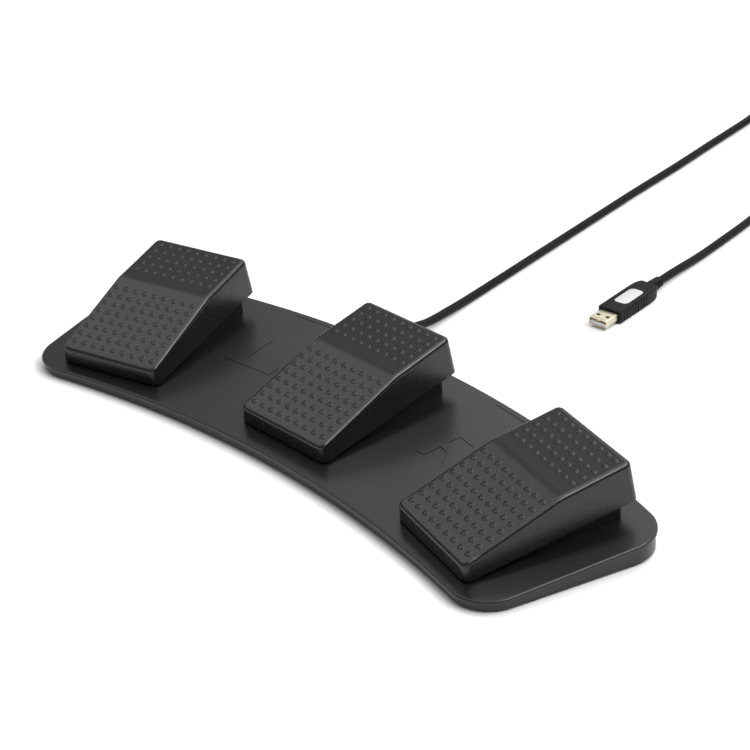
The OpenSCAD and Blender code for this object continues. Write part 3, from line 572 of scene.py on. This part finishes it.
def cover_plan(inset, flare=0.0):
    """One ring of the cover's plan: its four straight edges and four corners, from the front left."""
    half = PEDAL_W / 2 - inset + flare
    front, back = inset - flare / 2, PEDAL_L - inset + flare / 2
    r = max(SEEN_CORNER - inset, 0.0)
    xs = [(half - r) * x / half_top for x in lid_xs]
    ys = [front + r, *lid_ys[1:-1], back - r]

    def corner(x, y, start):
        return arc((x, y), r, start, start + 90, CORNER_CELLS, 1)[:-1]

    return [*((x, front) for x in xs), *corner(half - r, front + r, -90),
            *((half, y) for y in ys), *corner(half - r, back - r, 0),
            *((x, back) for x in reversed(xs)), *corner(r - half, back - r, 90),
            *((-half, y) for y in reversed(ys)), *corner(r - half, front + r, 180)]


# The upper edge is rounded, more tightly near the front
COVER_EDGE, FRONT_EDGE, TIGHT_TO, WIDE_FROM, EDGE_CUTS = 2.8, 1.6, 3.0, 9.0, 8


def edge_ring(a):
    """One ring of the rounded upper edge, at an angle from the wall to the top."""
    ring, reach = [], 1 - math.cos(a)
    plans = zip(cover_plan(0), cover_plan(COVER_EDGE * reach), cover_plan(FRONT_EDGE * reach))
    for outer, wide, tight in plans:
        s = max(0.0, min(1.0, (WIDE_FROM - outer[1]) / (WIDE_FROM - TIGHT_TO)))
        x, y = Vector(wide).lerp(Vector(tight), s)
        edge = COVER_EDGE + (FRONT_EDGE - COVER_EDGE) * s
        ring.append((x, y, top_at(y) - edge * (1 - math.sin(a))))
    return ring


# Radius, height and power of a dot's curve, and its rings as shares of the radius
FRONT_DOT, BACK_DOT = (1.95, 0.50, 2.0), (1.65, 0.44, 3.0)
DOT_RINGS = (1.06, 1.0, 0.92, 0.78, 0.61, 0.42, 0.2)


def dome(shape, cell, x, y, r, h, power):
    """Fills a cell's border with a low dome in a flat surround."""
    loops = [cell]
    for share in DOT_RINGS:
        rise = h * (1 - min(share, 1.0) ** power)
        plan = disc(x, y, share * r, len(cell))
        loops.append(shape.ring([(u, v, top_at(v) + rise) for u, v in plan]))
    shape.chain(loops)
    shape.cap(loops[-1])


def lid(shape, ring, sink, dots):
    """Closes a ring with the grid of the top, dotted on the outside and plain on the inside."""
    n, m, s = len(lid_xs) - 1, len(lid_ys) - 1, DOT_STEPS
    made, faces, filled = {}, [], set()

    def at(i, k):
        if (i, k) not in made:
            made[i, k] = shape.ring([(lid_xs[i], lid_ys[k], top_at(lid_ys[k]) - sink)])[0]
        return made[i, k]

    rows = [(s * k, y, 1.0, FRONT_DOT) for k, y in enumerate(front_ys)]
    rows += [(m - s * (BACK_ROWS - k), y, BACK_SQUEEZE, BACK_DOT) for k, y in enumerate(back_ys)]
    cell = [(s, k) for k in range(s // 2, s)] + [(i, s) for i in range(s, 0, -1)]
    cell += [(0, k) for k in range(s, 0, -1)] + [(i, 0) for i in range(s)]
    cell += [(s, k) for k in range(s // 2)]
    for k0, y, squeeze, size in rows if dots else []:
        filled.update(range(k0, k0 + s))
        for c, x in enumerate(dot_xs):
            dome(shape, [at(s * c + i, k0 + k) for i, k in cell], squeeze * x, y, *size)
    for k in range(m):
        if k not in filled:
            faces += [(at(i, k), at(i + 1, k), at(i + 1, k + 1), at(i, k + 1)) for i in range(n)]
    borders = [[at(i, 0) for i in range(n + 1)], [at(n, k) for k in range(m + 1)],
               [at(i, m) for i in range(n, -1, -1)], [at(0, k) for k in range(m, -1, -1)]]
    start = 0
    for border in borders:
        edge = ring[start:start + len(border)]
        start += len(border)
        faces += [(edge[i], edge[i + 1], border[i + 1], border[i]) for i in range(len(border) - 1)]
        bend = [edge[-1]] + [ring[(start + k) % len(ring)] for k in range(CORNER_CELLS)]
        start += CORNER_CELLS - 1
        faces += [(a, b, border[-1]) for a, b in zip(bend, bend[1:])]
    shape.faces.extend(faces if dots else [tuple(reversed(f)) for f in faces])


# Under the cover: hinge lugs, spring seat, switch pad and stop hooks, given at rest
POST_STEPS, LUG_FLARE = 24, 1.5
LUG_X, LUG_W, LUG_R, PIN_BORE = 22.2, 6.0, 3.2, 1.55
SPRING_AT, SEAT_Z, SEAT_R, PEG_R, PEG_L, PEG_EDGE = (-12.2, 65.5), 24.0, 6.0, 3.3, 3.0, 0.4
SWITCH_AT, PAD_Z, PAD_R, PAD_CUTS = (10.2, 39.5), 15.25, 3.0, 6
HOOK_X, HOOK_W, HOOK_FRONT, HOOK_BACK, HOOK_TIP, HOOK_Z, HOOK_T = 20.2, 8.0, 83.6, 86.1, 89.2, 12.6, 3.0
SKIRT_EDGE, SKIRT_LAND = 0.35, 0.8
LEVEL = AT_REST.inverted()


def under_top(x, y):
    return Vector((x, y, top_at(y) - COVER_T / 2))


def add_post(shape, centre, profile):
    """Round post from a profile of radius and height at rest up into the cover's top."""
    rings = []
    for r, z in profile:
        rings.append([LEVEL @ Vector((x, y, z)) for x, y in disc(*centre, r, POST_STEPS)])
    rings.append([under_top(v.x, v.y) for v in rings[-1]])
    shape.loft(rings)


def add_lug(shape, x):
    """Hinge lug with its bore."""
    low, high = x - LUG_W / 2, x + LUG_W / 2
    rim, bore = [], []
    for a in full_turn(POST_STEPS):
        c, s = math.cos(a), math.sin(a)
        bore.append((HINGE_Y + PIN_BORE * c, HINGE_Z + PIN_BORE * s))
        if s <= 0:
            rim.append((HINGE_Y + LUG_R * c, HINGE_Z + LUG_R * s))
        else:
            y = HINGE_Y + LUG_R * max(-1.0, min(1.0, c * LUG_FLARE))
            rim.append((y, HINGE_Z + (top_at(y) - COVER_T / 2 - HINGE_Z) * min(1.0, s * LUG_FLARE)))
    sides = ((rim, high), (rim, low), (bore, low), (bore, high))
    loops = [shape.ring([(u, y, z) for y, z in line]) for line, u in sides]
    shape.chain(loops + loops[:1])


def add_hook(shape, x):
    """Stop hook that points backwards."""
    high = HOOK_Z + HOOK_T
    profile = [(HOOK_FRONT, HOOK_Z), (HOOK_TIP, HOOK_Z), (HOOK_TIP, high), (HOOK_BACK, high)]
    rings = []
    for u in (x + HOOK_W / 2, x - HOOK_W / 2):
        foot = [LEVEL @ Vector((u, y, z)) for y, z in profile]
        rings.append(foot + [under_top(u, foot[3].y), under_top(u, foot[0].y)])
    shape.loft(rings)


def make_cover(name):
    shape = Shape()
    foot = [(x, y, SKIRT_GAP + SKIRT_EDGE) for x, y in cover_plan(0, COVER_DRAFT)]
    sole = [(x, y, SKIRT_GAP) for x, y in cover_plan(SKIRT_EDGE, COVER_DRAFT)]
    brow, *edge = [edge_ring(a) for a in quarter(EDGE_CUTS)]
    below = [Vector(b).lerp(Vector(f), SKIRT_LAND / (b[2] - f[2])) for b, f in zip(brow, foot)]
    above = [Vector(f).lerp(Vector(b), SKIRT_LAND / (b[2] - f[2])) for b, f in zip(brow, foot)]
    outer = shape.loft([sole, foot, above, below, brow, *edge], closed_ends=False)
    lid(shape, outer[-1], 0.0, dots=True)
    inner_sole = shape.ring([(x, y, SKIRT_GAP) for x, y in cover_plan(COVER_T, COVER_DRAFT)])
    inner_top = shape.ring([(x, y, top_at(y) - COVER_T) for x, y in cover_plan(COVER_T)])
    shape.bridge(inner_sole, outer[0])
    shape.bridge(inner_top, inner_sole)
    lid(shape, inner_top, COVER_T, dots=False)
    for side in (-1, 1):
        add_lug(shape, side * LUG_X)
        add_hook(shape, side * HOOK_X)
    tip = SEAT_Z - PEG_L
    peg = [(PEG_R - PEG_EDGE, tip), (PEG_R, tip + PEG_EDGE), (PEG_R, SEAT_Z), (SEAT_R, SEAT_Z)]
    add_post(shape, SPRING_AT, peg)
    ball = [(PAD_R * math.sin(a), PAD_Z + PAD_R * (1 - math.cos(a))) for a in quarter(PAD_CUTS)[1:]]
    add_post(shape, SWITCH_AT, ball)
    place = at_pedal(SIDES[name]) @ AT_REST
    cover = shape.make(f"{name}_cover", place, cover_plastic, f"{name}_pedal", "cover", smooth=SMOOTH_COVER)
    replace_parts(cover, f"{name}_pedal_cover")


for side_name in SIDES:
    make_cover(side_name)


# Return springs: wound a little closer at both ends
SPRING_D, SPRING_WIRE, SPRING_TURNS, SPRING_CLOSER = 10.0, 1.0, 7, 0.045
SPRING_LOW, SPRING_HIGH, BENDS_FROM, BENDS_TO = 2.6, 23.4, 5.0, 21.0
TURN_STEPS, WIRE_STEPS = 24, 8


def make_spring(name):
    shape, steps = Shape(), TURN_STEPS * SPRING_TURNS
    r, rise, path = (SPRING_D - SPRING_WIRE) / 2, SPRING_HIGH - SPRING_LOW, []
    for i in range(steps + 1):
        share, a = i / steps, 2 * math.pi * SPRING_TURNS * i / steps
        height = share - SPRING_CLOSER * math.sin(2 * math.pi * share)
        path.append(Vector((SPRING_AT[0] + r * math.cos(a), SPRING_AT[1] + r * math.sin(a),
                            SPRING_LOW + rise * height)))
    rings = []
    for i, p in enumerate(path):
        along = (path[min(i + 1, steps)] - path[max(i - 1, 0)]).normalized()
        out = along.cross(Vector((0, 0, 1))).normalized()
        up = out.cross(along)
        rings.append([p + SPRING_WIRE / 2 * (math.cos(a) * out - math.sin(a) * up)
                      for a in full_turn(WIRE_STEPS)])
    shape.loft(rings)
    place = at_pedal(SIDES[name])
    spring = shape.make(f"{name}_spring", place, steel, smooth=SMOOTH_SPRING, shown=False)
    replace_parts(spring, f"{name}_return_spring")
    start, stop = (tuple(METRES @ place @ Vector((*SPRING_AT, z))) for z in (BENDS_FROM, BENDS_TO))
    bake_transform(spring)
    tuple(start)
    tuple(stop)


for side_name in SIDES:
    make_spring(side_name)


# Plug: boot, ribbed grip, bare plate, metal shell
GRIP_Y, SHELL_Y = BOOT_L, BOOT_L + GRIP_L
GRIP_TOP, CUT_OVER = GRIP_T / 2, 1
GRIP_SIDE = [(3, 0), (1.8, 1), (0.4, 5), (0, 10), (0, GRIP_L - 1), (1, GRIP_L)]     # set in, from the boot
GRIP_EDGE, GRIP_CUTS = 0.9, 4
RIBS, RIB_R, RIB_PITCH, RIB_FIRST, RIB_OUT, RIB_STEPS = 9, 0.55, 3.0, 4.5, 0.1, 14
DENT_X, DENT_Y, DENT_R, DENT_DEEP, DENT_STEPS = 3.8, 8, 0.55, 0.8, 16
PLATE_L, PLATE_W, PLATE_CORNER, PLATE_DEEP, PLATE_SUNK, PLATE_GAP = 21.0, 9.6, 3.2, 0.6, 0.2, 0.05
PLATE_EDGE = [(0.0, 0.15), (0.05, 0.04), (0.15, 0.0)]                               # set in, below the top
PLATE_Y = SHELL_Y - GRIP_L / 2 + 0.8
BOOT_LIP = [(0.5, 0.0), (0.15, 0.15), (0.0, 0.5)]                                   # set in, from the end
BOOT_WALL, BOOT_CUTS, BOOT_STEPS = 0.9, 6, 40
SLOTS, SLOT_FIRST, SLOT_PITCH, SLOT_X, SLOT_W, SLOT_L = 3, 1.6, BOOT_L / 3.6, 3.3, 2.4, 1.3
SHELL_CORNER, CORNER_CUTS, MOUTH_BACK, MOUTH_OUTER, MOUTH_INNER = 0.7, 6, 0.12, 0.08, 0.06
WINDOW_X, WINDOW_BACK, WINDOW_W, WINDOW_L = 3.2, 6.8, 2.4, 2.4


def inset_plan(points, d):
    """A convex outline moved in by d."""
    n, out = len(points), []
    for i in range(n):
        a, b, c = (Vector(points[(i + k) % n]) for k in (-1, 0, 1))
        u, v = (b - a).normalized(), (c - b).normalized()
        nu, nv = Vector((-u.y, u.x)), Vector((-v.y, v.x))
        out.append(b + (nu + nv) * d / (1 + nu.dot(nv)))
    return out


def rounded_plan(width, length, r, cy=0.0, n=10):
    """Rounded rectangle, counter-clockwise."""
    out = []
    for sx, sy, start in ((1, -1, -90), (1, 1, 0), (-1, 1, 90), (-1, -1, 180)):
        out += arc((sx * (width / 2 - r), cy + sy * (length / 2 - r)), r, start, start + 90, n)
    return out


def make_grip():
    half = GRIP_W / 2
    right = [(half - inset, GRIP_Y + along) for inset, along in GRIP_SIDE]
    plan = right + [(-x, y) for x, y in reversed(right)]
    levels = [(GRIP_EDGE * (1 - math.sin(a)), -GRIP_TOP + GRIP_EDGE * (1 - math.cos(a)))
              for a in quarter(GRIP_CUTS)]
    levels += [(d, -z) for d, z in reversed(levels)]
    grip, tool = Shape(), Shape()
    grip.loft([[(p.x, p.y, z) for p in inset_plan(plan, d)] for d, z in levels])
    for side in (-1, 1):
        for i in range(RIBS):
            y = SHELL_Y - RIB_FIRST - i * RIB_PITCH
            tool.prism(disc(side * (half + RIB_OUT), y, RIB_R, RIB_STEPS), -GRIP_T, GRIP_T)
        dent = disc(side * DENT_X, GRIP_Y + DENT_Y, DENT_R, DENT_STEPS)
        tool.prism(dent, GRIP_TOP - DENT_DEEP, GRIP_TOP + CUT_OVER)
    bed = rounded_plan(PLATE_W, PLATE_L, PLATE_CORNER, PLATE_Y)
    tool.prism(bed, GRIP_TOP - PLATE_DEEP, GRIP_TOP + CUT_OVER)
    piece = cut_away("plug_body", grip, tool, AT_PLUG, grip_plastic)
    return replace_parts(piece, "plug_grip")


def make_plate():
    shape, rings = Shape(), []
    top = GRIP_TOP - PLATE_SUNK
    width, length, corner = PLATE_W - 2 * PLATE_GAP, PLATE_L - 2 * PLATE_GAP, PLATE_CORNER - PLATE_GAP
    for d, z in [(0.0, GRIP_TOP - PLATE_DEEP), *((d, top - drop) for d, drop in PLATE_EDGE)]:
        plan = rounded_plan(width - 2 * d, length - 2 * d, corner - d, PLATE_Y)
        rings.append([(x, y, z) for x, y in plan])
    shape.loft(rings)
    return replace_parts(shape.make("plug_label_plate", AT_PLUG, plate_plastic, slot="plate"), "plug_plate")


def make_boot():
    boot, tool, n = Shape(), Shape(), BOOT_CUTS
    start = CABLE_D / 2 + BOOT_WALL
    profile = [(start - inset, y) for inset, y in BOOT_LIP]
    profile += [(start + (BOOT_R - start) * k / n, BOOT_L * k / n) for k in range(1, n + 1)]
    turns = full_turn(BOOT_STEPS)
    boot.loft([[(r * math.sin(a), y, r * math.cos(a)) for a in turns] for r, y in profile])
    over = BOOT_R + CUT_OVER
    for i in range(SLOTS):
        for side in (-1, 1):
            x, y = side * SLOT_X, SLOT_FIRST + i * SLOT_PITCH
            tool.box((x - SLOT_W / 2, y, -over), (x + SLOT_W / 2, y + SLOT_L, over))
    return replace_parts(cut_away("plug_relief", boot, tool, AT_PLUG, grip_plastic), "plug_boot")


def make_shell():
    shell, tool, end = Shape(), Shape(), SHELL_Y + SHELL_L

    def ring(grow, y):
        plan = rounded_plan(SHELL_W + 2 * grow, SHELL_H + 2 * grow, SHELL_CORNER + grow, n=CORNER_CUTS)
        return shell.ring([(x, y, -z) for x, z in plan])

    loops = [ring(-SHELL_T, SHELL_Y), ring(0, SHELL_Y), ring(0, end - MOUTH_BACK), ring(-MOUTH_OUTER, end),
             ring(-SHELL_T + MOUTH_INNER, end), ring(-SHELL_T, end - MOUTH_BACK)]
    shell.chain(loops + loops[:1])
    for x in (-WINDOW_X, WINDOW_X):
        y = end - WINDOW_BACK
        tool.box((x - WINDOW_W / 2, y, -SHELL_H), (x + WINDOW_W / 2, y + WINDOW_L, SHELL_H))
    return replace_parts(cut_away("plug_shell", shell, tool, AT_PLUG, shell_plating), "usb_shell")


plug_pieces = [make_boot(), make_grip(), make_plate(), make_shell()]


# CAD nodes that keep their shape
def dress(material, *names):
    for name in names:
        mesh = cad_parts[name].data
        mesh.materials.clear()
        mesh.materials.append(material)


dress(tray_plastic, "base_tray")
dress(foot_rubber, "rubber_feet", "cable_gland")
dress(zinc, "tray_screws", "housing_screws")
dress(strap_plastic, "cable_tie")
dress(switch_plastic, "controller_parts")
dress(board_laminate, "controller_board")
dress(wire_sleeve, "usb_leads")
dress(tongue_plastic, "usb_tongue")
dress(gold, "usb_contacts")
for side_name in SIDES:
    dress(house_plastic, f"{side_name}_housing")
    dress(steel, f"{side_name}_hinge_pin")
    dress(board_laminate, f"{side_name}_switch_board")
    dress(switch_plastic, f"{side_name}_switch_body")
    dress(plunger_plastic, f"{side_name}_switch_plunger")
    dress(wire_sleeve, f"{side_name}_wire")


# Floor and light, in metres and watts
FLOOR_HALF, FLOOR_TOP, FLOOR_DRIFT_MM, FLOOR_ROUGHNESS = 8.0, -0.0002, 90.0, 0.9
LIGHTS = {                                  # place, size, power; all look at the middle of the base
    "left_box": ((-1.95, -0.38, 2.15), (2.2, 1.7), 12.5),
    "right_box": ((1.6, 0.65, 2.05), (2.4, 0.9), 46),
    "overhead": ((0.5, 0.7, 3.0), (3.4, 3.4), 62),
}

# Brightness along one axis of the direction looked in: axis, from, to, value before, value after
SKY = [("Z", 0.1, 0.45, 0.1, 0.40), ("X", 0.3, 0.7, 1.0, 0.25), ("X", -0.95, -0.70, 0.15, 1.0)]
WALL = [("Y", 0.40, 0.53, 0.0, 1.0), ("Z", 0.2, 0.4, 0.1, 1.0), ("X", 0.0, 0.45, 1.0, 0.05),
        ("X", -0.72, -0.60, 0.2, 1.0)]


def make_stage():
    mesh = bpy.data.meshes.new("floor")
    corners = [(-1, -1), (1, -1), (1, 1), (-1, 1)]
    mesh.from_pydata([(x * FLOOR_HALF, y * FLOOR_HALF, FLOOR_TOP) for x, y in corners], [], [(0, 1, 2, 3)])
    paint = Paint("floor_paper", roughness=FLOOR_ROUGHNESS, specular=0.0)
    paint.colours(paint.noise(FLOOR_DRIFT_MM, detail=2.0), *greys(0.86, 0.88))
    mesh.materials.append(paint.material)
    floor = add_object("floor", mesh)


def make_light(name, place, size, watts):
    data = bpy.data.lights.new(name, "AREA")
    data.shape = "RECTANGLE"
    data.size, data.size_y = size
    data.energy = watts
    obj = add_object(name, data)
    obj.location = place
    obj.rotation_euler = (-Vector(place)).to_track_quat("-Z", "Y").to_euler()


def make_world():
    """A sky that is dim below and to both sides, and a lit wall behind the base."""
    world = bpy.data.worlds.new("studio")
    bpy.context.scene.world = world
    world.use_nodes = True
    tree = world.node_tree
    way = tree.nodes.new("ShaderNodeSeparateXYZ")
    tree.links.new(tree.nodes.new("ShaderNodeTexCoord").outputs["Generated"], way.inputs[0])

    def step(axis, *numbers):
        node = tree.nodes.new("ShaderNodeMapRange")
        node.interpolation_type = "SMOOTHSTEP"
        set_range(node, *numbers)
        tree.links.new(way.outputs[axis], node.inputs["Value"])
        return node.outputs["Result"]

    def joined(kind, a, b):
        node = tree.nodes.new("ShaderNodeMath")
        node.operation = kind
        tree.links.new(a, node.inputs[0])
        tree.links.new(b, node.inputs[1])
        return node.outputs[0]

    def product(steps):
        value = step(*steps[0])
        for numbers in steps[1:]:
            value = joined("MULTIPLY", value, step(*numbers))
        return value

    back = tree.nodes["Background"]
    back.inputs["Color"].default_value = (1, 1, 1, 1)
    tree.links.new(joined("ADD", product(SKY), product(WALL)), back.inputs["Strength"])


make_stage()
make_world()
for light_name, numbers in LIGHTS.items():
    make_light(light_name, *numbers)
bpy.context.scene.view_settings.view_transform = "Standard"
